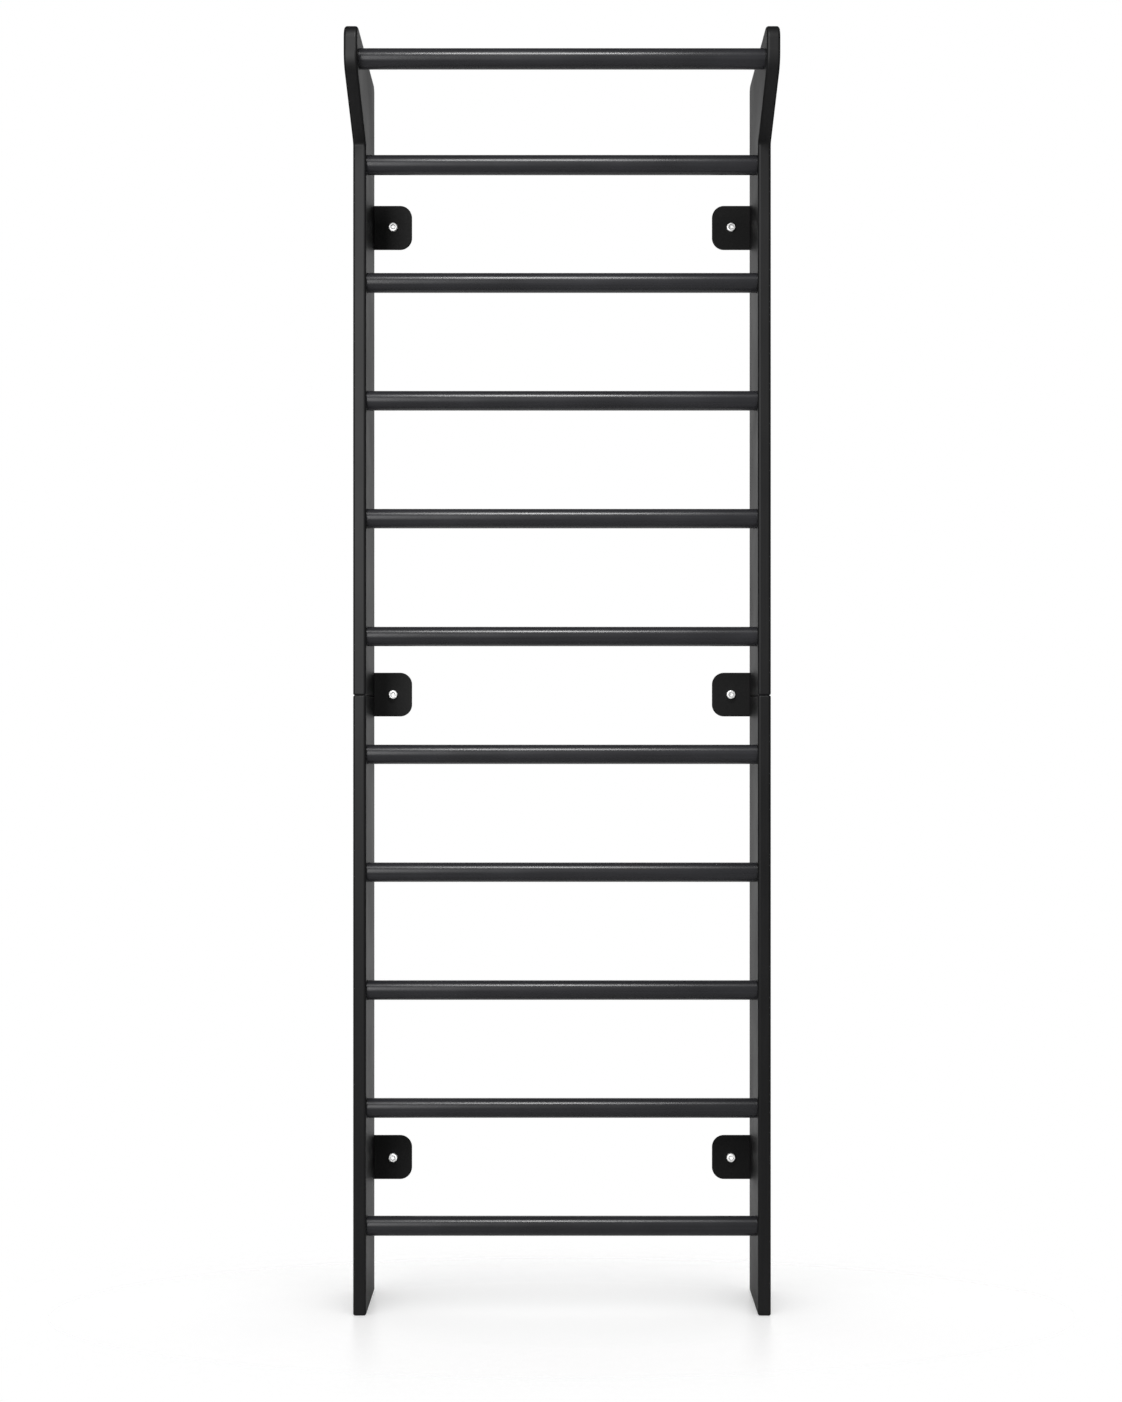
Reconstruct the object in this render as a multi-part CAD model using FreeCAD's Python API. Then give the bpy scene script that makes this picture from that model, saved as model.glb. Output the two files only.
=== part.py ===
import FreeCAD, Part
import math
import os

Vector = FreeCAD.Vector

# Layout of the ladder. The wall is the plane y = 0, the floor is z = 0, and -Y is the front.
clear_width = 660.0  # between the inner faces of the two side boards
first_rung_height = 145.0  # floor to the axis of the lowest rung
rung_pitch = 200.0
rungs_per_half = 5
seam_share = 0.5  # the seam lies half a pitch above the last rung of the lower half
bar_rise = 137.0  # axis of the top rung to the axis of the pull-up bar
bar_reach = 92.0  # front edge of the boards to the axis of the pull-up bar

# Side boards, each in two halves that meet at the seam
board_thickness = 22.0
board_depth = 140.0  # wall to front edge
edge_round = 4.5  # roundover along the outline of every board
end_round = 3.0  # smaller roundover at the foot and at the seam
nose_radius = 40.0  # round the pull-up bar
nose_top_rise = 47.0  # axis of the pull-up bar to the top of the nose
brow_radius = 25.0  # upper front corner of the nose
underside_angle = 33.5  # degrees by which the underside of the nose climbs forward
throat_radius = 8.0  # hollow where that underside meets the front edge
top_fall = 10.5  # drop of the top edge from the nose to the wall
rear_top_radius = 15.0

# Round rungs and the pull-up bar, which are the same turned rod
rung_diameter = 33.0
rung_setback = 25.0  # front edge of the boards to the rung axis
socket_depth = 10.0  # blind socket in the inner face of a board
rung_end_chamfer = 1.5

# Bolt through the board into a threaded insert in the end of the rod
bolt_diameter = 8.0
bolt_head_diameter = 16.0
bolt_grip = 16.0  # length of bolt inside the insert
bolt_tip_chamfer = 1.0
bolt_socket_width = 5.0
bolt_socket_depth = 2.5
insert_wall = 1.8
insert_length = 18.0
insert_flange_width = 2.0
insert_flange_thickness = 1.5

# Dowels across the seam
dowel_diameter = 10.0
dowel_length = 60.0
dowel_chamfer = 1.5
dowel_front_inset = 35.0
dowel_spacing = 35.0

# Flat steel plates let into the rear edge of the boards, with a tab towards the middle
plate_thickness = 4.0
plate_height = 77.0
plate_end_inset = 3.0  # the plate stops this far inside the outer face of the board
plate_heel_radius = 3.0
plate_edge_round = 1.2  # along the front of the plate
tab_length = 66.0  # inner face of the board to the end of the tab
tab_corner_radius = 21.0
lower_plate_rise = 234.0  # floor to the middle of the lower plates
middle_plate_lift = 3.0  # seam to the middle of the middle plates
upper_plate_drop = 212.5  # axis of the pull-up bar to the middle of the upper plates
plate_screw_diameter = 5.0
plate_screw_head_diameter = 10.0
plate_screw_length = 40.0
plate_screw_tip = 7.0
plate_screw_point_share = 0.2  # blunt end of the point as a share of the shank
plate_screw_margin = 10.0  # edge of the plate to the outer screws
plate_screw_near_share = 0.5  # inner screws lie halfway from the middle to the outer ones
plate_screw_socket_width = 3.0
plate_screw_socket_depth = 1.6

# Screws that hold the tabs to the wall
wall_screw_diameter = 8.0  # over the thread
wall_screw_neck_diameter = 7.0  # plain neck under the head
wall_screw_neck_run = 5.0  # the neck ends this far behind the wall plane
wall_screw_reach = 60.0  # length of shank behind the wall plane
wall_screw_tip = 9.0
wall_screw_point_share = 0.2
wall_screw_head_diameter = 15.0
wall_screw_head_height = 5.5
wall_screw_head_round = 1.5
wall_screw_socket_width = 6.0
wall_screw_socket_depth = 3.2
wall_hole_share = 0.5  # the hole is halfway along the tab

# Clearances and cutting
fit_gap = 0.3  # round pieces in their holes, all round
overrun = 5.0  # how far a cutting shape runs past a face

full_turn = 360.0
hexagon_sides = 6
half_share = 0.5

origin = Vector(0, 0, 0)
across = Vector(1, 0, 0)
to_wall = Vector(0, 1, 0)
upward = Vector(0, 0, 1)

# Places that follow from the sizes above
inner_face = clear_width * half_share
outer_face = inner_face + board_thickness
board_middle = inner_face + board_thickness * half_share
front_edge = -board_depth
seam_height = first_rung_height + rung_pitch * (rungs_per_half - seam_share)
rung_heights = [first_rung_height + rung_pitch * index for index in range(2 * rungs_per_half)]
rung_axis_y = front_edge + rung_setback
bar_axis_y = front_edge - bar_reach
bar_height = rung_heights[-1] + bar_rise
rod_places = [(rung_axis_y, height) for height in rung_heights] + [(bar_axis_y, bar_height)]
plate_heights = {
    "lower": lower_plate_rise,
    "middle": seam_height + middle_plate_lift,
    "upper": bar_height - upper_plate_drop,
}
tab_end = inner_face - tab_length
wall_hole_x = inner_face - tab_length * wall_hole_share
far_screw = plate_height * half_share - plate_screw_margin
near_screw = far_screw * plate_screw_near_share
plate_screw_offsets = [-far_screw, -near_screw, near_screw, far_screw]
dowel_places = [front_edge + dowel_front_inset, front_edge + dowel_front_inset + dowel_spacing]
rod_length = clear_width + 2 * socket_depth
rod_start = inner_face + socket_depth
insert_diameter = bolt_diameter + 2 * fit_gap + 2 * insert_wall
insert_flange_diameter = insert_diameter + 2 * insert_flange_width
bolt_length = board_thickness - socket_depth + bolt_grip


def rounded_outline(corners):
    """Closed wire in 3D through corners given as (point, radius); a radius of zero leaves a sharp corner."""
    starts, middles, ends = [], [], []
    count = len(corners)
    for index, (corner, radius) in enumerate(corners):
        before = (corners[index - 1][0] - corner).normalize()
        after = (corners[(index + 1) % count][0] - corner).normalize()
        half_angle = before.getAngle(after) * half_share
        tangent_length = radius / math.tan(half_angle)
        bisector = (before + after).normalize()
        starts.append(corner + before * tangent_length)
        middles.append(corner + bisector * (radius / math.sin(half_angle) - radius))
        ends.append(corner + after * tangent_length)
    edges = []
    for index in range(count):
        if corners[index][1] > 0:
            edges.append(Part.Arc(starts[index], middles[index], ends[index]).toShape())
        edges.append(Part.LineSegment(ends[index], starts[(index + 1) % count]).toShape())
    return Part.Wire(edges)


def turned(stations, foot, direction):
    """Lathe work: stations are (distance along the axis, radius), closed on the axis at both ends."""
    first, last = stations[0][0], stations[-1][0]
    rim = [Vector(along, radius, 0) for along, radius in stations]
    outline = [Vector(first, 0, 0)] + rim + [Vector(last, 0, 0), Vector(first, 0, 0)]
    solid = Part.Face(Part.makePolygon(outline)).revolve(origin, across, full_turn)
    solid.Placement = FreeCAD.Placement(foot, FreeCAD.Rotation(across, direction))
    return solid


def hexagon_recess(width, depth, foot, direction):
    """Six-sided recess cutter that starts outside the face at foot and goes in along direction."""
    corner_radius = width / math.sqrt(3)
    turn = 2 * math.pi / hexagon_sides
    ring = [
        Vector(-overrun, corner_radius * math.cos(turn * side), corner_radius * math.sin(turn * side))
        for side in range(hexagon_sides + 1)
    ]
    prism = Part.Face(Part.makePolygon(ring)).extrude(across * (depth + overrun))
    prism.Placement = FreeCAD.Placement(foot, FreeCAD.Rotation(across, direction))
    return prism


def mirrored(shape):
    """The same piece on the left side of the ladder."""
    return shape.mirror(origin, across)


def on_side(shape, side):
    return shape if side == "right" else mirrored(shape)


def rounded_board(corners, end_heights):
    """Board of the given side outline, rounded over along its outline and then round its flat ends."""

    def on_end(shape):
        return any(abs(shape.CenterOfMass.z - height) < end_round for height in end_heights)

    blank = Part.Face(rounded_outline(corners)).extrude(across * board_thickness)
    long_edges = [edge for edge in blank.Edges if edge.BoundBox.XLength < edge_round and not on_end(edge)]
    board = blank.makeFillet(edge_round, long_edges)
    end_edges = [edge for face in board.Faces if on_end(face) for edge in face.Edges]
    return board.makeFillet(end_round, end_edges)


def lower_board_blank():
    corners = [
        (Vector(inner_face, 0, 0), 0),
        (Vector(inner_face, 0, seam_height), 0),
        (Vector(inner_face, front_edge, seam_height), 0),
        (Vector(inner_face, front_edge, 0), 0),
    ]
    return rounded_board(corners, [0, seam_height])


def upper_board_blank():
    """Upper half, whose nose wraps the pull-up bar: front and underside are tangents to one circle."""
    slope = math.radians(underside_angle)
    nose_front = bar_axis_y - nose_radius
    top_height = bar_height + nose_top_rise
    touch_y = bar_axis_y - nose_radius * math.sin(slope)
    touch_height = bar_height - nose_radius * math.cos(slope)
    nose_corner_height = touch_height + (touch_y - nose_front) * math.tan(slope)
    throat_height = touch_height - (front_edge - touch_y) * math.tan(slope)
    corners = [
        (Vector(inner_face, 0, seam_height), 0),
        (Vector(inner_face, 0, top_height - top_fall), rear_top_radius),
        (Vector(inner_face, nose_front, top_height), brow_radius),
        (Vector(inner_face, nose_front, nose_corner_height), nose_radius),
        (Vector(inner_face, front_edge, throat_height), throat_radius),
        (Vector(inner_face, front_edge, seam_height), 0),
    ]
    return rounded_board(corners, [seam_height])


def rod_seat(axis_y, height):
    """Blind socket for a rod, with a countersunk bolt hole through the rest of the board."""
    socket_radius = rung_diameter * half_share + fit_gap
    socket = Part.makeCylinder(
        socket_radius, socket_depth + overrun, Vector(inner_face - overrun, axis_y, height), across
    )
    hole_radius = bolt_diameter * half_share + fit_gap
    head_radius = bolt_head_diameter * half_share + fit_gap
    hole = turned(
        [
            (-overrun, head_radius),
            (0, head_radius),
            (head_radius - hole_radius, hole_radius),
            (board_thickness, hole_radius),
        ],
        Vector(outer_face, axis_y, height),
        -across,
    )
    return socket.fuse(hole)


def plate_seat(height):
    """Rebate in the rear edge for a plate, with pilot holes for its screws."""
    seat = Part.makeBox(
        board_thickness + 2 * overrun,
        plate_thickness + overrun,
        plate_height + 2 * fit_gap,
        Vector(inner_face - overrun, -plate_thickness, height - plate_height * half_share - fit_gap),
    )
    pilot_radius = plate_screw_diameter * half_share + fit_gap
    pilot_depth = plate_screw_length + fit_gap
    pilots = [
        Part.makeCylinder(pilot_radius, pilot_depth, Vector(board_middle, 0, height + offset), -to_wall)
        for offset in plate_screw_offsets
    ]
    return seat.multiFuse(pilots)


def dowel_holes():
    radius = dowel_diameter * half_share + fit_gap
    depth = dowel_length + 2 * fit_gap
    base_height = seam_height - depth * half_share
    return [Part.makeCylinder(radius, depth, Vector(board_middle, y, base_height)) for y in dowel_places]


def board_with_seats(blank, lowest, highest):
    """Cuts the seats that fall within one half of the side board."""
    rods = [rod_seat(y, height) for y, height in rod_places if lowest < height < highest]
    reach = plate_height * half_share
    plates = [
        plate_seat(height)
        for height in plate_heights.values()
        if lowest < height + reach and height - reach < highest
    ]
    return blank.cut(rods + plates + dowel_holes())


def rod(axis_y, height):
    """Round rod with chamfered ends, each bored for its threaded insert."""
    radius = rung_diameter * half_share
    bar = turned(
        [
            (0, radius - rung_end_chamfer),
            (rung_end_chamfer, radius),
            (rod_length - rung_end_chamfer, radius),
            (rod_length, radius - rung_end_chamfer),
        ],
        Vector(-rod_start, axis_y, height),
        across,
    )
    flange_radius = insert_flange_diameter * half_share + fit_gap
    bore_radius = insert_diameter * half_share + fit_gap
    bore = [
        (-overrun, flange_radius),
        (insert_flange_thickness, flange_radius),
        (insert_flange_thickness, bore_radius),
        (insert_length, bore_radius),
    ]
    right_bore = turned(bore, Vector(rod_start, axis_y, height), -across)
    left_bore = turned(bore, Vector(-rod_start, axis_y, height), across)
    return bar.cut([right_bore, left_bore])


def threaded_insert(axis_y, height):
    """Flanged sleeve flush with the end of the rod."""
    sleeve = turned(
        [
            (0, insert_flange_diameter * half_share),
            (insert_flange_thickness, insert_flange_diameter * half_share),
            (insert_flange_thickness, insert_diameter * half_share),
            (insert_length, insert_diameter * half_share),
        ],
        Vector(rod_start, axis_y, height),
        -across,
    )
    bore_radius = bolt_diameter * half_share + fit_gap
    bore = Part.makeCylinder(
        bore_radius, insert_length + 2 * overrun, Vector(rod_start + overrun, axis_y, height), -across
    )
    return sleeve.cut(bore)


def rung_bolt(axis_y, height):
    """Countersunk bolt, flush with the outer face of the board."""
    radius = bolt_diameter * half_share
    head_radius = bolt_head_diameter * half_share
    foot = Vector(outer_face, axis_y, height)
    bolt = turned(
        [
            (0, head_radius),
            (head_radius - radius, radius),
            (bolt_length - bolt_tip_chamfer, radius),
            (bolt_length, radius - bolt_tip_chamfer),
        ],
        foot,
        -across,
    )
    return bolt.cut(hexagon_recess(bolt_socket_width, bolt_socket_depth, foot, -across))


def seam_dowel(axis_y):
    radius = dowel_diameter * half_share
    return turned(
        [
            (0, radius - dowel_chamfer),
            (dowel_chamfer, radius),
            (dowel_length - dowel_chamfer, radius),
            (dowel_length, radius - dowel_chamfer),
        ],
        Vector(board_middle, axis_y, seam_height - dowel_length * half_share),
        upward,
    )


def wall_plate(height):
    """Flat plate with a round-cornered tab, a wall hole and countersunk screw holes from behind."""
    heel = outer_face - plate_end_inset
    low = height - plate_height * half_share
    high = height + plate_height * half_share
    outline = rounded_outline([
        (Vector(tab_end, 0, low), tab_corner_radius),
        (Vector(heel, 0, low), plate_heel_radius),
        (Vector(heel, 0, high), plate_heel_radius),
        (Vector(tab_end, 0, high), tab_corner_radius),
    ])
    plate = Part.Face(outline).extrude(-to_wall * plate_thickness)
    front_edges = [edge for edge in plate.Edges if edge.BoundBox.YMax < -plate_thickness * half_share]
    plate = plate.makeFillet(plate_edge_round, front_edges)
    wall_hole = Part.makeCylinder(
        wall_screw_diameter * half_share + fit_gap,
        plate_thickness + 2 * overrun,
        Vector(wall_hole_x, overrun, height),
        -to_wall,
    )
    head_radius = plate_screw_head_diameter * half_share + fit_gap
    hole_radius = plate_screw_diameter * half_share + fit_gap
    screw_holes = [
        turned(
            [
                (-overrun, head_radius),
                (0, head_radius),
                (head_radius - hole_radius, hole_radius),
                (plate_thickness + overrun, hole_radius),
            ],
            Vector(board_middle, 0, height + offset),
            -to_wall,
        )
        for offset in plate_screw_offsets
    ]
    return plate.cut([wall_hole] + screw_holes)


def plate_screw(height):
    """Countersunk wood screw driven from behind into the rear edge of a board."""
    radius = plate_screw_diameter * half_share
    head_radius = plate_screw_head_diameter * half_share
    foot = Vector(board_middle, 0, height)
    screw = turned(
        [
            (0, head_radius),
            (head_radius - radius, radius),
            (plate_screw_length - plate_screw_tip, radius),
            (plate_screw_length, radius * plate_screw_point_share),
        ],
        foot,
        -to_wall,
    )
    return screw.cut(hexagon_recess(plate_screw_socket_width, plate_screw_socket_depth, foot, -to_wall))


def wall_screw(height):
    """Round-headed screw through the tab, with its shank running into the wall."""
    radius = wall_screw_diameter * half_share
    neck_radius = wall_screw_neck_diameter * half_share
    head_radius = wall_screw_head_diameter * half_share
    foot = Vector(wall_hole_x, -plate_thickness - wall_screw_head_height, height)
    wall_plane = wall_screw_head_height + plate_thickness
    length = wall_plane + wall_screw_reach
    screw = turned(
        [
            (0, head_radius),
            (wall_screw_head_height, head_radius),
            (wall_screw_head_height, neck_radius),
            (wall_plane + wall_screw_neck_run, neck_radius),
            (wall_plane + wall_screw_neck_run, radius),
            (length - wall_screw_tip, radius),
            (length, radius * wall_screw_point_share),
        ],
        foot,
        to_wall,
    )
    rim = [
        edge
        for edge in screw.Edges
        if edge.BoundBox.YMax < foot.y + wall_screw_head_round and edge.BoundBox.XLength > head_radius
    ]
    screw = screw.makeFillet(wall_screw_head_round, rim)
    return screw.cut(hexagon_recess(wall_screw_socket_width, wall_screw_socket_depth, foot, to_wall))


def save(name, shapes):
    """Writes one named piece, or a group of identical pieces, to its own file."""
    group = shapes[0] if len(shapes) == 1 else Part.Compound(shapes)
    group.exportStep(os.path.join("parts", name + ".step"))
    solids = [solid for shape in shapes for solid in shape.Solids]
    sound = all(solid.isValid() for solid in solids)
    print(f"{name}: {len(solids)} solids, {sum(solid.Volume for solid in solids):.0f} mm3, valid {sound}")


os.makedirs("parts", exist_ok=True)

lower_board = board_with_seats(lower_board_blank(), 0, seam_height)
upper_board = board_with_seats(upper_board_blank(), seam_height, bar_height + nose_top_rise)
for side in ("left", "right"):
    save(f"{side}_lower_side_board", [on_side(lower_board, side)])
    save(f"{side}_upper_side_board", [on_side(upper_board, side)])
    save(f"{side}_seam_dowels", [on_side(seam_dowel(y), side) for y in dowel_places])
    save(f"{side}_rung_inserts", [on_side(threaded_insert(y, height), side) for y, height in rod_places])
    save(f"{side}_rung_bolts", [on_side(rung_bolt(y, height), side) for y, height in rod_places])
    plate_screws = [
        on_side(plate_screw(height + offset), side)
        for height in plate_heights.values()
        for offset in plate_screw_offsets
    ]
    save(f"{side}_plate_screws", plate_screws)
    for level, height in plate_heights.items():
        save(f"{side}_{level}_wall_plate", [on_side(wall_plate(height), side)])

for index, height in enumerate(rung_heights):
    save(f"rung_{index + 1:02d}", [rod(rung_axis_y, height)])
save("pull_up_bar", [rod(bar_axis_y, bar_height)])

wall_screws = [
    on_side(wall_screw(height), side) for height in plate_heights.values() for side in ("left", "right")
]
save("wall_screws", wall_screws)
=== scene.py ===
import math

import bpy
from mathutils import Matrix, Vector


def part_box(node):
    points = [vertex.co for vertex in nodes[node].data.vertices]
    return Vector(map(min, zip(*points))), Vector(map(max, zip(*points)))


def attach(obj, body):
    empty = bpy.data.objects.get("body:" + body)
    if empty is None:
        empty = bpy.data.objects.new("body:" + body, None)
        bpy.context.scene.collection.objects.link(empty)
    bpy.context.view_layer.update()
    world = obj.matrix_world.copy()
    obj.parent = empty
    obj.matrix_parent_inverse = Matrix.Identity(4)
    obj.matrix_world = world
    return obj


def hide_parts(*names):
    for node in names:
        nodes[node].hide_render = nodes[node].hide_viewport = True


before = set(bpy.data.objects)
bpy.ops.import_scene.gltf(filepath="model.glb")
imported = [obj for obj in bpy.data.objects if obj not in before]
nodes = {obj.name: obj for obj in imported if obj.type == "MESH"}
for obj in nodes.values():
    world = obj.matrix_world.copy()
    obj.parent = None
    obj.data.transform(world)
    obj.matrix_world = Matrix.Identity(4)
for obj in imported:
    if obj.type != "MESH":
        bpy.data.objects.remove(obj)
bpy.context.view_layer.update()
scene = bpy.context.scene
mm = 0.001
print("frame loaded:", len(nodes), "nodes")


def linearColour(hexText):
    channels = [int(hexText[start:start + 2], 16) / 255 for start in (1, 3, 5)]
    linear = [c / 12.92 if c <= 0.04045 else ((c + 0.055) / 1.055) ** 2.4 for c in channels]
    return (*linear, 1.0)


def addNode(tree, kind, inputs=None, **settings):
    node = tree.nodes.new(kind)
    for name, value in settings.items():
        setattr(node, name, value)
    for key, value in (inputs or {}).items():
        if isinstance(value, bpy.types.NodeSocket):
            tree.links.new(value, node.inputs[key])
        else:
            node.inputs[key].default_value = value
    return node


def newFinish(name):
    material = bpy.data.materials.new(name)
    material.use_nodes = True
    tree = material.node_tree
    place = addNode(tree, "ShaderNodeTexCoord").outputs["Object"]
    return material, tree, tree.nodes["Principled BSDF"], place


def middleOf(nodeName):
    low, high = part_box(nodeName)
    return (low + high) / 2


# Lacquered wood: boards and rods share one recipe and differ in grain direction and gloss
boardLook = {
    "film": "#0a0a0b",  # lacquer colour
    "filmThin": "#101011",  # where the film is thinner
    "thinEdge": (0.12, 0.42),  # grain times patches where the film starts to thin and where it is thinnest
    "roughness": 0.5,
    "roughnessSpread": 0.04,
    "specular": 0.33,
    "grainWidth": 3.5 * mm,  # real pores are finer, drawn this wide so that they show
    "grainLength": 160 * mm,
    "grainDepth": 0.02 * mm,
    "peelSize": 2.4 * mm,  # orange peel of the sprayed film
    "peelDepth": 0.01 * mm,
    "patchSize": 140 * mm,
    "patchEdge": (0.3, 0.7),
    "relief": 0.35,  # share of grain and peel that shows in the light
}
rodLook = dict(
    boardLook,
    film="#1b1b1d",
    filmThin="#222225",
    roughness=0.29,
    roughnessSpread=0.03,
    specular=0.37,
    grainWidth=2.5 * mm,
    grainLength=220 * mm,
    grainDepth=0.008 * mm,
    peelDepth=0.004 * mm,
)


# Satin black lacquer on wood: a closed dark film with soft gloss, long grain just felt through it
def lacqueredWood(name, look, grainAxis):
    material, tree, shader, place = newFinish(name)
    stretch = [1 / look["grainWidth"]] * 3
    stretch[grainAxis] = 1 / look["grainLength"]
    along = addNode(tree, "ShaderNodeMapping", {"Vector": place, "Scale": stretch})
    grain = addNode(tree, "ShaderNodeTexNoise", {
        "Vector": along.outputs[0], "Scale": 1.0, "Detail": 4.0, "Roughness": 0.6, "Distortion": 0.4})
    patches = addNode(tree, "ShaderNodeTexNoise", {
        "Vector": place, "Scale": 1 / look["patchSize"], "Detail": 3.0, "Roughness": 0.5})
    peel = addNode(tree, "ShaderNodeTexNoise", {
        "Vector": place, "Scale": 1 / look["peelSize"], "Detail": 2.0, "Roughness": 0.5})
    thinness = addNode(tree, "ShaderNodeMath", {
        0: grain.outputs["Fac"], 1: patches.outputs["Fac"]}, operation="MULTIPLY")
    share = addNode(tree, "ShaderNodeMapRange", {
        0: thinness.outputs[0], 1: look["thinEdge"][0], 2: look["thinEdge"][1]})
    colour = addNode(tree, "ShaderNodeMix", {
        0: share.outputs[0], 6: linearColour(look["film"]), 7: linearColour(look["filmThin"])},
        data_type="RGBA")
    gloss = addNode(tree, "ShaderNodeMapRange", {
        0: patches.outputs["Fac"], 1: look["patchEdge"][0], 2: look["patchEdge"][1],
        3: look["roughness"] - look["roughnessSpread"], 4: look["roughness"] + look["roughnessSpread"]})
    grainBump = addNode(tree, "ShaderNodeBump", {
        "Strength": look["relief"], "Distance": look["grainDepth"], "Height": grain.outputs["Fac"]})
    peelBump = addNode(tree, "ShaderNodeBump", {
        "Strength": look["relief"], "Distance": look["peelDepth"], "Height": peel.outputs["Fac"],
        "Normal": grainBump.outputs[0]})
    tree.links.new(colour.outputs[2], shader.inputs["Base Color"])
    tree.links.new(gloss.outputs[0], shader.inputs["Roughness"])
    tree.links.new(peelBump.outputs[0], shader.inputs["Normal"])
    shader.inputs["Specular IOR Level"].default_value = look["specular"]
    return material


plateLook = {
    "coat": "#0b0b0b",
    "coatHigh": "#141414",  # on the tips of the powder grain
    "tipEdge": (0.35, 0.7),
    "roughness": (0.68, 0.52),  # between the grains and on their tips
    "glossEdge": (0.3, 0.7),
    "specular": 0.2,
    "grainSize": 0.9 * mm,  # powder grain is finer, drawn coarse so that it shows
    "grainDepth": 0.04 * mm,
    "relief": 0.6,
}


# Fine-textured black powder coat on steel: dull, with a sandy sparkle of small highlights
def powderCoat(name, look):
    material, tree, shader, place = newFinish(name)
    sand = addNode(tree, "ShaderNodeTexNoise", {
        "Vector": place, "Scale": 1 / look["grainSize"], "Detail": 3.0, "Roughness": 0.65})
    share = addNode(tree, "ShaderNodeMapRange", {
        0: sand.outputs["Fac"], 1: look["tipEdge"][0], 2: look["tipEdge"][1]})
    colour = addNode(tree, "ShaderNodeMix", {
        0: share.outputs[0], 6: linearColour(look["coat"]), 7: linearColour(look["coatHigh"])},
        data_type="RGBA")
    gloss = addNode(tree, "ShaderNodeMapRange", {
        0: sand.outputs["Fac"], 1: look["glossEdge"][0], 2: look["glossEdge"][1],
        3: look["roughness"][0], 4: look["roughness"][1]})
    bump = addNode(tree, "ShaderNodeBump", {
        "Strength": look["relief"], "Distance": look["grainDepth"], "Height": sand.outputs["Fac"]})
    tree.links.new(colour.outputs[2], shader.inputs["Base Color"])
    tree.links.new(gloss.outputs[0], shader.inputs["Roughness"])
    tree.links.new(bump.outputs[0], shader.inputs["Normal"])
    shader.inputs["Specular IOR Level"].default_value = look["specular"]
    return material


# Platings, with the roughness where they are bright and where they are dull
metalLooks = {
    # White and bright, with shade painted on the lip of the socket as a greyer colour
    "bright_nickel_plate": {
        "tone": "#fcfcfb", "toneDull": "#eeeeed", "toneLipShade": "#c4c4c4",
        "roughness": (0.23, 0.36), "metallic": 0.6, "spotSize": 2.2 * mm},
    # Cool light grey
    "blue_zinc_plate": {
        "tone": "#c9ccd0", "toneDull": "#a5a8ac", "toneLipShade": "#c9ccd0",
        "roughness": (0.33, 0.46), "metallic": 1.0, "spotSize": 1.8 * mm},
    # Near black with a dull sheen
    "black_oxide_steel": {
        "tone": "#2a2a2c", "toneDull": "#1b1b1d", "toneLipShade": "#2a2a2c",
        "roughness": (0.37, 0.5), "metallic": 1.0, "spotSize": 1.6 * mm},
    # Pale brassy yellow
    "yellow_zinc_plate": {
        "tone": "#c8b070", "toneDull": "#a48f5c", "toneLipShade": "#c8b070",
        "roughness": (0.35, 0.48), "metallic": 1.0, "spotSize": 1.8 * mm},
}
dullEdge = (0.4, 0.7)  # noise level where a spot starts to dull and where it is dullest
glossEdge = (0.3, 0.7)


# Plated steel: bright, with faint cloudy spots where the plating took unevenly
def platedSteel(name, look):
    material, tree, shader, place = newFinish(name)
    spots = addNode(tree, "ShaderNodeTexNoise", {
        "Vector": place, "Scale": 1 / look["spotSize"], "Detail": 3.0, "Roughness": 0.55})
    share = addNode(tree, "ShaderNodeMapRange", {
        0: spots.outputs["Fac"], 1: dullEdge[0], 2: dullEdge[1]})
    colour = addNode(tree, "ShaderNodeMix", {
        0: share.outputs[0], 6: linearColour(look["tone"]), 7: linearColour(look["toneDull"])},
        data_type="RGBA")
    gloss = addNode(tree, "ShaderNodeMapRange", {
        0: spots.outputs["Fac"], 1: glossEdge[0], 2: glossEdge[1],
        3: look["roughness"][0], 4: look["roughness"][1]})
    # Painted shade: the marked lip of the socket takes the greyer lip colour
    lipShade = addNode(tree, "ShaderNodeAttribute", attribute_name="lipShade")
    platingAndLipShade = addNode(tree, "ShaderNodeMix", {
        0: lipShade.outputs["Fac"], 6: colour.outputs[2], 7: linearColour(look["toneLipShade"])},
        data_type="RGBA")
    tree.links.new(platingAndLipShade.outputs[2], shader.inputs["Base Color"])
    tree.links.new(gloss.outputs[0], shader.inputs["Roughness"])
    shader.inputs["Metallic"].default_value = look["metallic"]
    return material


beechLook = {
    "light": "#cfa878",
    "dark": "#b48a5c",
    "fleckWidth": 0.8 * mm,
    "fleckLength": 6 * mm,
    "fleckEdge": (0.45, 0.7),
    "roughness": 0.65,
}


# Plain beech: warm pinkish tan with short darker flecks along the grain
def plainBeech(name, look):
    material, tree, shader, place = newFinish(name)
    acrossGrain, alongGrain = 1 / look["fleckWidth"], 1 / look["fleckLength"]
    along = addNode(tree, "ShaderNodeMapping", {
        "Vector": place, "Scale": (acrossGrain, acrossGrain, alongGrain)})
    flecks = addNode(tree, "ShaderNodeTexNoise", {
        "Vector": along.outputs[0], "Scale": 1.0, "Detail": 4.0, "Roughness": 0.6})
    share = addNode(tree, "ShaderNodeMapRange", {
        0: flecks.outputs["Fac"], 1: look["fleckEdge"][0], 2: look["fleckEdge"][1]})
    colour = addNode(tree, "ShaderNodeMix", {
        0: share.outputs[0], 6: linearColour(look["light"]), 7: linearColour(look["dark"])},
        data_type="RGBA")
    tree.links.new(colour.outputs[2], shader.inputs["Base Color"])
    shader.inputs["Roughness"].default_value = look["roughness"]
    return material


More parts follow.
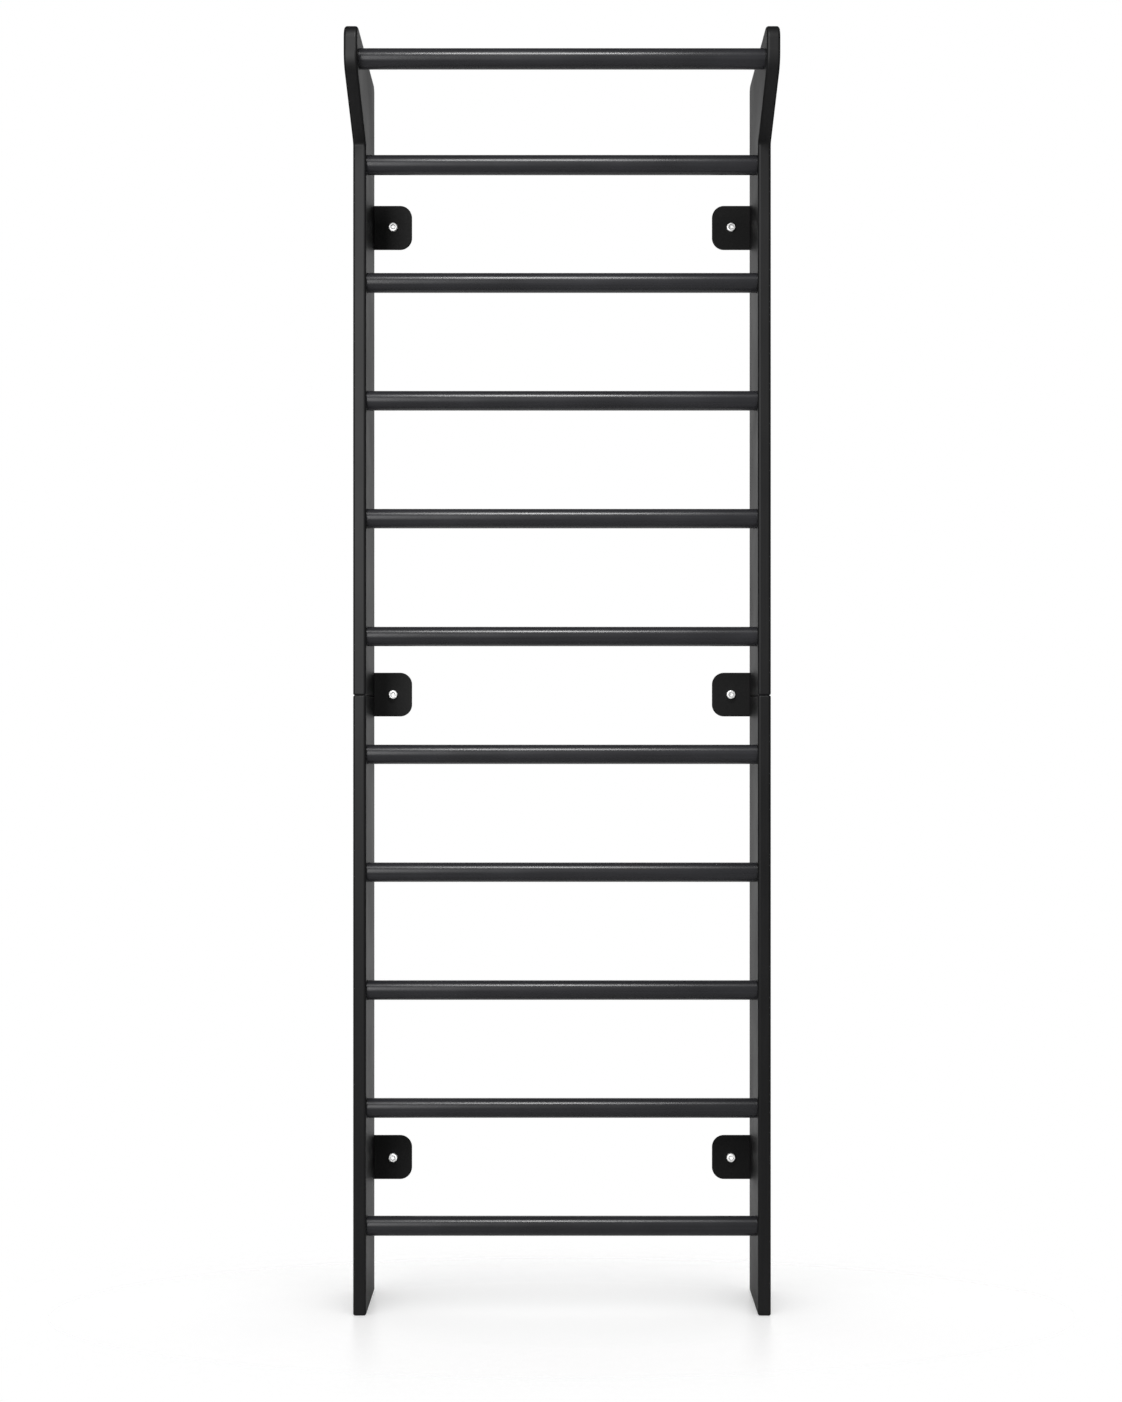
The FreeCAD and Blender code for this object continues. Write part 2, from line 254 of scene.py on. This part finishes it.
finishes = {
    "black_lacquered_board": lacqueredWood("satin_black_lacquered_board", boardLook, 2),
    "black_lacquered_rod": lacqueredWood("satin_black_lacquered_rod", rodLook, 0),
    "black_coated_plate": powderCoat("fine_texture_black_powder_coat", plateLook),
    "bright_wall_screw": platedSteel("bright_nickel_plate", metalLooks["bright_nickel_plate"]),
    "zinc_screw": platedSteel("blue_zinc_plate", metalLooks["blue_zinc_plate"]),
    "black_bolt": platedSteel("black_oxide_steel", metalLooks["black_oxide_steel"]),
    "plated_insert": platedSteel("yellow_zinc_plate", metalLooks["yellow_zinc_plate"]),
    "plain_beech": plainBeech("plain_beech", beechLook),
}

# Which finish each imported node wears, by the words in its name
slotWords = [
    ("side_board", "black_lacquered_board"),
    ("rung_bolts", "black_bolt"),
    ("rung_inserts", "plated_insert"),
    ("seam_dowels", "plain_beech"),
    ("plate_screws", "zinc_screw"),
    ("wall_plate", "black_coated_plate"),
    ("wall_screws", "bright_wall_screw"),
    ("rung_", "black_lacquered_rod"),
    ("pull_up_bar", "black_lacquered_rod"),
]
for nodeName, node in nodes.items():
    slotName = next(slot for word, slot in slotWords if word in nodeName)
    for materialSlot in node.material_slots:
        materialSlot.material = finishes[slotName]
print("finishes on", len(nodes), "nodes")


# A socket screw as one lathe surface: socket, head, neck, thread and point, row by row
screwInputs = [
    ("Head Radius", "NodeSocketFloat"),
    ("Head Height", "NodeSocketFloat"),
    ("Head Side", "NodeSocketFloat"),
    ("Rim Round", "NodeSocketFloat"),
    ("Socket Width", "NodeSocketFloat"),
    ("Socket Depth", "NodeSocketFloat"),
    ("Socket Lip", "NodeSocketFloat"),
    ("Lip Radius", "NodeSocketFloat"),
    ("Neck Radius", "NodeSocketFloat"),
    ("Neck End", "NodeSocketFloat"),
    ("Thread Radius", "NodeSocketFloat"),
    ("Thread Depth", "NodeSocketFloat"),
    ("Thread Pitch", "NodeSocketFloat"),
    ("Length", "NodeSocketFloat"),
    ("Point Length", "NodeSocketFloat"),
    ("Sides", "NodeSocketInt"),
    ("Rows Per Pitch", "NodeSocketInt"),
    ("Lean", "NodeSocketRotation"),
    ("Turn Seed", "NodeSocketInt"),
    ("Finish", "NodeSocketMaterial"),
]


def screwTree():
    drillPointShare = 1.15  # depth at the middle of the socket, as a share of its depth
    rimSteps = 5
    lipRow = 2  # the socket's lip lies between this head row and the next
    crestSharpness = 2.6
    softEdge = math.radians(32)  # sharper edges than this stay crisp
    mergeGap = 0.002 * mm
    tree = bpy.data.node_groups.new("socketScrew", "GeometryNodeTree")
    tree.interface.new_socket("Places", in_out="INPUT", socket_type="NodeSocketGeometry")
    for name, kind in screwInputs:
        tree.interface.new_socket(name, in_out="INPUT", socket_type=kind)
    tree.interface.new_socket("Screws", in_out="OUTPUT", socket_type="NodeSocketGeometry")
    given = addNode(tree, "NodeGroupInput").outputs

    def calc(operation, *values):
        inputs = dict(enumerate(values))
        return addNode(tree, "ShaderNodeMath", inputs, operation=operation).outputs[0]

    # Head rows as (distance from the top, radius, how six-sided the row is)
    socketRadius = calc("MULTIPLY", given["Socket Width"], 0.5)
    headRows = [
        (calc("MULTIPLY", given["Socket Depth"], drillPointShare), 0.0, 0.0),
        (given["Socket Depth"], socketRadius, 1.0),
        (given["Socket Lip"], socketRadius, 1.0),
        (0.0, given["Lip Radius"], 0.0),
    ]
    for step in range(rimSteps + 1):
        angle = math.pi / 2 * step / rimSteps
        drop = calc("MULTIPLY", given["Rim Round"], 1 - math.cos(angle))
        inset = calc("MULTIPLY", given["Rim Round"], 1 - math.sin(angle))
        headRows.append((drop, calc("SUBTRACT", given["Head Radius"], inset), 0.0))
    headRows += [
        (given["Head Side"], given["Head Radius"], 0.0),
        (given["Head Height"], given["Neck Radius"], 0.0),
        (given["Neck End"], given["Neck Radius"], 0.0),
    ]
    headCount = len(headRows)

    # Rows of thread up to the point
    rowStep = calc("DIVIDE", given["Thread Pitch"], given["Rows Per Pitch"])
    threadRun = calc("SUBTRACT", given["Length"], given["Neck End"])
    threadRows = calc("ADD", calc("CEIL", calc("DIVIDE", threadRun, rowStep)), 1.0)
    rowCount = calc("ADD", threadRows, float(headCount))
    grid = addNode(tree, "GeometryNodeMeshGrid", {
        "Size X": 1.0, "Size Y": 1.0,
        "Vertices X": calc("ADD", given["Sides"], 1.0), "Vertices Y": rowCount})
    index = addNode(tree, "GeometryNodeInputIndex").outputs[0]
    row = calc("FLOORED_MODULO", index, rowCount)
    column = calc("FLOOR", calc("DIVIDE", calc("ADD", index, 0.5), rowCount))
    turnShare = calc("DIVIDE", column, given["Sides"])
    angle = calc("MULTIPLY", turnShare, 2 * math.pi)

    # Thread profile: sharp crests with a flat root between them, fading in over the first turn
    threadFoot = calc("MULTIPLY", calc("SUBTRACT", row, float(headCount)), rowStep)
    threadPlace = calc("MINIMUM", calc("ADD", given["Neck End"], threadFoot), given["Length"])
    turnsDown = calc("DIVIDE", threadPlace, given["Thread Pitch"])
    phase = calc("FRACT", calc("SUBTRACT", turnsDown, turnShare))
    offCrest = calc("ABSOLUTE", calc("SUBTRACT", phase, 0.5))
    crest = calc("MAXIMUM", calc("SUBTRACT", 1.0, calc("MULTIPLY", offCrest, crestSharpness)), 0.0)
    fadeIn = calc("MINIMUM", calc("DIVIDE", threadFoot, given["Thread Pitch"]), 1.0)
    ridge = calc("MULTIPLY", calc("MULTIPLY", crest, fadeIn), given["Thread Depth"])
    core = calc("SUBTRACT", given["Thread Radius"], given["Thread Depth"])
    left = calc("SUBTRACT", given["Length"], threadPlace)
    taper = calc("MINIMUM", calc("DIVIDE", left, given["Point Length"]), 1.0)
    threadRadius = calc("MULTIPLY", calc("ADD", core, ridge), taper)

    # Pick the head row or the thread row for each ring of points
    picks = []
    for part in range(3):
        pick = addNode(tree, "GeometryNodeIndexSwitch", data_type="FLOAT")
        while len(pick.index_switch_items) < headCount:
            pick.index_switch_items.new()
        tree.links.new(row, pick.inputs["Index"])
        for number, headRow in enumerate(headRows):
            socket = pick.inputs[str(number)]
            if isinstance(headRow[part], bpy.types.NodeSocket):
                tree.links.new(headRow[part], socket)
            else:
                socket.default_value = headRow[part]
        picks.append(pick.outputs[0])
    inThread = calc("GREATER_THAN", row, headCount - 0.5)
    distance = addNode(tree, "ShaderNodeMix", {0: inThread, 2: picks[0], 3: threadPlace}).outputs[0]
    roundRadius = addNode(tree, "ShaderNodeMix", {0: inThread, 2: picks[1], 3: threadRadius}).outputs[0]
    sixth = math.pi / 3
    offFlat = calc("SUBTRACT", calc("FLOORED_MODULO", angle, sixth), sixth / 2)
    sixSided = calc("DIVIDE", 1.0, calc("COSINE", offFlat))
    swell = addNode(tree, "ShaderNodeMix", {0: picks[2], 2: 1.0, 3: sixSided}).outputs[0]
    radius = calc("MULTIPLY", roundRadius, swell)

    position = addNode(tree, "ShaderNodeCombineXYZ", {
        0: calc("MULTIPLY", radius, calc("COSINE", angle)),
        1: calc("MULTIPLY", radius, calc("SINE", angle)),
        2: distance})
    lathed = addNode(tree, "GeometryNodeSetPosition", {
        "Geometry": grid.outputs["Mesh"], "Position": position.outputs[0]})

    # The lip is marked, so that shade can be painted there as a greyer plating colour
    offLip = calc("ABSOLUTE", calc("SUBTRACT", row, lipRow + 0.5))
    marked = addNode(tree, "GeometryNodeStoreNamedAttribute", {
        "Geometry": lathed.outputs[0], "Name": "lipShade", "Value": calc("LESS_THAN", offLip, 1.0)},
        data_type="FLOAT", domain="POINT")

    # Sew the seam of the lathe and keep the sharp edges crisp
    closed = addNode(tree, "GeometryNodeMergeByDistance", {
        "Geometry": marked.outputs[0], "Distance": mergeGap})
    edgeAngle = addNode(tree, "GeometryNodeInputMeshEdgeAngle").outputs["Unsigned Angle"]
    soft = calc("LESS_THAN", edgeAngle, softEdge)
    faceSmooth = addNode(tree, "GeometryNodeSetShadeSmooth", {
        "Geometry": closed.outputs[0]}, domain="FACE")
    smooth = addNode(tree, "GeometryNodeSetShadeSmooth", {
        "Geometry": faceSmooth.outputs[0], "Shade Smooth": soft}, domain="EDGE")

    # One screw at each place, each stopped at its own turn of the key
    stand = addNode(tree, "GeometryNodeInstanceOnPoints", {
        "Points": given["Places"], "Instance": smooth.outputs[0], "Rotation": given["Lean"]})
    turn = addNode(tree, "FunctionNodeRandomValue", {
        "Min": 0.0, "Max": 2 * math.pi, "Seed": given["Turn Seed"]}, data_type="FLOAT")
    spun = addNode(tree, "GeometryNodeRotateInstances", {
        "Instances": stand.outputs[0], "Rotation": addNode(tree, "ShaderNodeCombineXYZ", {
            2: turn.outputs["Value"]}).outputs[0]})
    real = addNode(tree, "GeometryNodeRealizeInstances", {"Geometry": spun.outputs[0]})
    finished = addNode(tree, "GeometryNodeSetMaterial", {
        "Geometry": real.outputs[0], "Material": given["Finish"]})
    addNode(tree, "NodeGroupOutput", {0: finished.outputs[0]})
    return tree


def plantScrews(name, tree, sizes, places, slotName, replaced):
    mesh = bpy.data.meshes.new(name + "Places")
    mesh.from_pydata([tuple(place) for place in places], [], [])
    holder = bpy.data.objects.new(name + "Places", mesh)
    scene.collection.objects.link(holder)
    modifier = holder.modifiers.new("screws", "NODES")
    modifier.node_group = tree
    wanted = dict(sizes, Finish=finishes[slotName])
    for item in tree.interface.items_tree:
        if item.in_out == "INPUT" and item.name in wanted:
            modifier[item.identifier] = wanted[item.name]
    depsgraph = bpy.context.evaluated_depsgraph_get()
    plain = bpy.data.meshes.new_from_object(holder.evaluated_get(depsgraph), depsgraph=depsgraph)
    holder.modifiers.remove(modifier)
    bpy.data.objects.remove(holder)
    piece = bpy.data.objects.new(name, plain)
    scene.collection.objects.link(piece)
    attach(piece, "root")
    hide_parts(replaced)
    print(name, "made:", len(places), "screws,", len(plain.polygons), "faces")
    return piece


socketScrew = screwTree()
sides = {"left": -1, "right": 1}
levels = ("lower", "middle", "upper")
rodNames = [f"rung_{number:02d}" for number in range(1, 11)] + ["pull_up_bar"]
quarterTurn = math.pi / 2

wallScrew = {
    "Head Radius": 7.5 * mm,
    "Head Height": 5.5 * mm,
    "Head Side": 5.5 * mm,
    "Rim Round": 1.5 * mm,
    "Socket Width": 6 * mm,
    "Socket Depth": 3.2 * mm,
    "Socket Lip": 2.2 * mm,
    "Lip Radius": 4.5 * mm,
    "Neck Radius": 3.5 * mm,
    "Neck End": 14.5 * mm,
    "Thread Radius": 4 * mm,
    "Thread Depth": 1.1 * mm,
    "Thread Pitch": 3.6 * mm,
    "Length": 69.5 * mm,
    "Point Length": 9 * mm,
    "Sides": 48,
    "Rows Per Pitch": 8,
    "Lean": (-quarterTurn, 0, 0),
    "Turn Seed": 4,
}
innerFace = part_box("right_lower_side_board")[0].x
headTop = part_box("wall_screws")[0].y
wallPlaces = []
for side, sign in sides.items():
    for level in levels:
        low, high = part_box(f"{side}_{level}_wall_plate")
        tabEnd = min(abs(low.x), abs(high.x))
        wallPlaces.append(Vector((sign * (innerFace + tabEnd) / 2, headTop, (low.z + high.z) / 2)))
wallScrews = plantScrews(
    "wallScrews", socketScrew, wallScrew, wallPlaces, "bright_wall_screw", "wall_screws")

plateScrew = {
    "Head Radius": 5 * mm,
    "Head Height": 2.5 * mm,
    "Head Side": 0.2 * mm,
    "Rim Round": 0.2 * mm,
    "Socket Width": 3 * mm,
    "Socket Depth": 1.6 * mm,
    "Socket Lip": 0.3 * mm,
    "Lip Radius": 1.9 * mm,
    "Neck Radius": 2.2 * mm,
    "Neck End": 10 * mm,
    "Thread Radius": 2.5 * mm,
    "Thread Depth": 0.7 * mm,
    "Thread Pitch": 2.4 * mm,
    "Length": 40 * mm,
    "Point Length": 7 * mm,
    "Sides": 36,
    "Rows Per Pitch": 6,
    "Lean": (quarterTurn, 0, 0),
    "Turn Seed": 11,
    "Edge Margin": 10 * mm,  # edge of a plate to its outer screws
    "Row Shares": (-1, -0.5, 0.5, 1),  # of the way from the middle of the plate to its outer screws
}
boardMiddle = abs(middleOf("right_lower_side_board").x)
for side, sign in sides.items():
    places = []
    for level in levels:
        low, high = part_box(f"{side}_{level}_wall_plate")
        middle = (low.z + high.z) / 2
        reach = (high.z - low.z) / 2 - plateScrew["Edge Margin"]
        for share in plateScrew["Row Shares"]:
            places.append(Vector((sign * boardMiddle, 0, middle + reach * share)))
    plantScrews(
        f"{side}PlateScrews", socketScrew, plateScrew, places, "zinc_screw", f"{side}_plate_screws")

rungBolt = {
    "Head Radius": 8 * mm,
    "Head Height": 4 * mm,
    "Head Side": 0.3 * mm,
    "Rim Round": 0.3 * mm,
    "Socket Width": 5 * mm,
    "Socket Depth": 2.5 * mm,
    "Socket Lip": 0.4 * mm,
    "Lip Radius": 3.2 * mm,
    "Neck Radius": 4 * mm,
    "Neck End": 10 * mm,
    "Thread Radius": 4 * mm,
    "Thread Depth": 0.6 * mm,
    "Thread Pitch": 1.25 * mm,
    "Length": 28 * mm,
    "Point Length": 1 * mm,
    "Sides": 36,
    "Rows Per Pitch": 4,
    "Turn Seed": 23,
}
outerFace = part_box("right_lower_side_board")[1].x
for side, sign in sides.items():
    places = [Vector((sign * outerFace, *middleOf(rodName).yz)) for rodName in rodNames]
    sizes = dict(rungBolt, Lean=(0, -sign * quarterTurn, 0))
    plantScrews(f"{side}RungBolts", socketScrew, sizes, places, "black_bolt", f"{side}_rung_bolts")


# Pale studio floor that keeps the ladder's shadow and fades into the white round it
floorLook = {
    "radius": 4.0,  # half the side of the square
    "fadeFrom": 1.3,  # distance from the middle where the floor starts to turn clear
    "fadeTo": 2.6,
    "albedo": 0.8,
    "glow": 0.24,  # lifts the floor to white for the camera
    "glossyGlow": 0.1,  # share of the glow that shows in reflections
    "dimAlbedo": 0.37,  # in reflections the floor before the ladder is dimmer than the floor behind it
    "dimEdge": (-0.4, 0.25),  # depths between which it changes
    "mirror": 0.2,
    "mirrorRoughness": 0.3,
    "patchMiddle": -0.12,  # depth of the oval round the feet in which the camera sees the floor's tones
    "patchReach": (1.2, 0.42),  # half width and half depth of the oval
    "patchEdge": (0.15, 1.0),  # shares of its reach where the tones start to fade and are gone
}


def floorFinish(look):
    material = bpy.data.materials.new("pale_studio_floor")
    material.use_nodes = True
    material.cycles.emission_sampling = "NONE"
    tree = material.node_tree
    tree.nodes.clear()
    path = addNode(tree, "ShaderNodeLightPath").outputs
    glossy = addNode(tree, "ShaderNodeMath", {
        0: path["Is Glossy Ray"], 1: look["glossyGlow"]}, operation="MULTIPLY")
    seen = addNode(tree, "ShaderNodeMath", {
        0: path["Is Camera Ray"], 1: path["Is Transmission Ray"]}, operation="MAXIMUM")
    seen = addNode(tree, "ShaderNodeMath", {
        0: seen.outputs[0], 1: glossy.outputs[0]}, operation="MAXIMUM")
    glow = addNode(tree, "ShaderNodeMath", {
        0: seen.outputs[0], 1: look["glow"]}, operation="MULTIPLY")
    light = addNode(tree, "ShaderNodeEmission", {"Strength": glow.outputs[0]})
    place = addNode(tree, "ShaderNodeTexCoord").outputs["Object"]
    depth = addNode(tree, "ShaderNodeSeparateXYZ", {0: place}).outputs["Y"]
    mirrored = addNode(tree, "ShaderNodeMapRange", {
        0: depth, 1: look["dimEdge"][0], 2: look["dimEdge"][1],
        3: look["dimAlbedo"], 4: look["albedo"]}, interpolation_type="SMOOTHSTEP")
    tone = addNode(tree, "ShaderNodeMix", {
        0: path["Is Glossy Ray"], 2: look["albedo"], 3: mirrored.outputs[0]})
    matt = addNode(tree, "ShaderNodeBsdfDiffuse", {"Color": tone.outputs[0]})
    shine = addNode(tree, "ShaderNodeBsdfGlossy", {
        "Color": (look["mirror"],) * 3 + (1,), "Roughness": look["mirrorRoughness"]})
    lit = addNode(tree, "ShaderNodeAddShader", {0: light.outputs[0], 1: matt.outputs[0]})
    lit = addNode(tree, "ShaderNodeAddShader", {0: lit.outputs[0], 1: shine.outputs[0]})
    reach = addNode(tree, "ShaderNodeVectorMath", {0: place}, operation="LENGTH")
    fade = addNode(tree, "ShaderNodeMapRange", {
        0: reach.outputs["Value"], 1: look["fadeFrom"], 2: look["fadeTo"]},
        interpolation_type="SMOOTHSTEP")
    across, along = look["patchReach"]
    oval = addNode(tree, "ShaderNodeMapping", {
        "Vector": place, "Scale": (1 / across, 1 / along, 1),
        "Location": (0, -look["patchMiddle"] / along, 0)})
    offFeet = addNode(tree, "ShaderNodeVectorMath", {0: oval.outputs[0]}, operation="LENGTH")
    beyond = addNode(tree, "ShaderNodeMapRange", {
        0: offFeet.outputs["Value"], 1: look["patchEdge"][0], 2: look["patchEdge"][1],
        4: path["Is Camera Ray"]}, interpolation_type="SMOOTHSTEP")
    fade = addNode(tree, "ShaderNodeMath", {
        0: fade.outputs[0], 1: beyond.outputs[0]}, operation="MAXIMUM")
    clear = addNode(tree, "ShaderNodeBsdfTransparent")
    whole = addNode(tree, "ShaderNodeMixShader", {
        0: fade.outputs[0], 1: lit.outputs[0], 2: clear.outputs[0]})
    addNode(tree, "ShaderNodeOutputMaterial", {0: whole.outputs[0]})
    return material


def studioFloor(look):
    half = look["radius"]
    mesh = bpy.data.meshes.new("floor")
    corners = [(-half, -half, 0), (half, -half, 0), (half, half, 0), (-half, half, 0)]
    mesh.from_pydata(corners, [], [(0, 1, 2, 3)])
    floor = bpy.data.objects.new("floor", mesh)
    scene.collection.objects.link(floor)
    mesh.materials.append(floorFinish(look))
    return floor


floor = studioFloor(floorLook)
print("floor laid")

# What surrounds the ladder: a white sheet behind it, a dimmer room elsewhere, soft fill in the shadows
worldLook = {
    "white": "#ffffff",
    "sheetEdge": (math.cos(math.radians(40)), math.cos(math.radians(22))),  # its rim and its full white
    "sheet": 0.9,  # in reflections
    "frontEdge": (0.15, 0.75),
    "dimRoom": 0.04,  # in reflections, at the sides
    "frontRoom": 0.17,  # in reflections, behind the camera
    "fill": 0.6,  # on matt surfaces, from the sides and the back
    "frontFill": 1.5,
    "fillEdge": (0.1, 0.7),
}


def studioWorld(look):
    world = bpy.data.worlds.new("studio")
    scene.world = world
    world.use_nodes = True
    world.cycles.sampling_method = "NONE"
    tree = world.node_tree
    tree.nodes.clear()
    path = addNode(tree, "ShaderNodeLightPath").outputs
    way = addNode(tree, "ShaderNodeTexCoord").outputs["Generated"]
    depth = addNode(tree, "ShaderNodeSeparateXYZ", {0: way}).outputs["Y"]
    towards = addNode(tree, "ShaderNodeMath", {0: depth, 1: -1.0}, operation="MULTIPLY")
    front = addNode(tree, "ShaderNodeMapRange", {
        0: towards.outputs[0], 1: look["frontEdge"][0], 2: look["frontEdge"][1],
        3: look["dimRoom"], 4: look["frontRoom"]}, interpolation_type="SMOOTHSTEP")
    sheet = addNode(tree, "ShaderNodeMapRange", {
        0: depth, 1: look["sheetEdge"][0], 2: look["sheetEdge"][1]}, interpolation_type="SMOOTHSTEP")
    white = addNode(tree, "ShaderNodeMath", {
        0: sheet.outputs[0], 1: path["Is Camera Ray"]}, operation="MAXIMUM")
    sheetLevel = addNode(tree, "ShaderNodeMix", {
        0: path["Is Camera Ray"], 2: look["sheet"], 3: 1.0})
    surround = addNode(tree, "ShaderNodeMix", {
        0: white.outputs[0], 2: front.outputs[0], 3: sheetLevel.outputs[0]})
    seen = addNode(tree, "ShaderNodeMath", {
        0: path["Is Camera Ray"], 1: path["Is Glossy Ray"]}, operation="MAXIMUM")
    seen = addNode(tree, "ShaderNodeMath", {
        0: seen.outputs[0], 1: path["Is Transmission Ray"]}, operation="MAXIMUM")
    fill = addNode(tree, "ShaderNodeMapRange", {
        0: towards.outputs[0], 1: look["fillEdge"][0], 2: look["fillEdge"][1],
        3: look["fill"], 4: look["frontFill"]}, interpolation_type="SMOOTHSTEP")
    level = addNode(tree, "ShaderNodeMix", {
        0: seen.outputs[0], 2: fill.outputs[0], 3: surround.outputs[0]})
    backdrop = addNode(tree, "ShaderNodeBackground", {
        "Color": linearColour(look["white"]), "Strength": level.outputs[0]})
    addNode(tree, "ShaderNodeOutputWorld", {0: backdrop.outputs[0]})


studioWorld(worldLook)

# Softboxes overhead and beside the camera on the left, and white cards that show in the bright screws
softboxes = {
    "overheadSoftbox": {
        "place": (-0.07, -1.09, 2.82), "target": (-0.07, -0.06, -1.49),
        "size": (0.5, 0.22), "watts": 9.5, "spread": 100},
    "leftSoftbox": {
        "place": (-1.1, -2.75, 1.8), "target": (0, -0.1, 1.3),
        "size": (0.8, 1.8), "watts": 47, "spread": 180},
    "frontCard": {
        "place": (0, -3.4, 1.7), "target": (0, 0, 1.7),
        "size": (1.2, 3.0), "watts": 13, "spread": 180},
    "lowCard": {
        "place": (0, -0.95, 0.14), "target": (0, 0, 0.234),
        "size": (1.2, 0.28), "watts": 2.7, "spread": 180},
}

# The softboxes leave out the floor, so that it stays evenly white, and the cards light the screws alone
unlit = bpy.data.collections.new("unlit")
unlit.objects.link(floor)
unlit.collection_objects[0].light_linking.link_state = "EXCLUDE"
polished = bpy.data.collections.new("polished")
polished.objects.link(wallScrews)
receivers = {
    "overheadSoftbox": unlit,
    "leftSoftbox": unlit,
    "frontCard": polished,
    "lowCard": polished,
}
for name, box in softboxes.items():
    lamp = bpy.data.lights.new(name, "AREA")
    lamp.shape = "RECTANGLE"
    lamp.size, lamp.size_y = box["size"]
    lamp.energy = box["watts"]
    lamp.spread = math.radians(box["spread"])
    stand = bpy.data.objects.new(name, lamp)
    scene.collection.objects.link(stand)
    stand.light_linking.receiver_collection = receivers[name]
    stand.location = box["place"]
    aim = Vector(box["target"]) - Vector(box["place"])
    stand.rotation_euler = aim.to_track_quat("-Z", "Y").to_euler()
print("light set")

# Level camera at chest height, straight in front, as the picture was taken
view = {
    "frameWidth": 1122,
    "frameHeight": 1402,
    "focalPixels": 1790,
    "axisPixel": (562, 720),  # where the level line of sight meets the picture
    "place": (0, -3.153, 1.0033),
    "sensor": 36.0,
}
lens = bpy.data.cameras.new("camera")
lens.sensor_width = view["sensor"]
lens.lens = view["focalPixels"] / view["frameHeight"] * view["sensor"]
lens.shift_x = (view["frameWidth"] / 2 - view["axisPixel"][0]) / view["frameHeight"]
lens.shift_y = (view["axisPixel"][1] - view["frameHeight"] / 2) / view["frameHeight"]
camera = bpy.data.objects.new("camera", lens)
camera.location = view["place"]
camera.rotation_euler = (quarterTurn, 0, 0)
scene.collection.objects.link(camera)
scene.camera = camera
scene.view_settings.view_transform = "Standard"
print("camera placed")
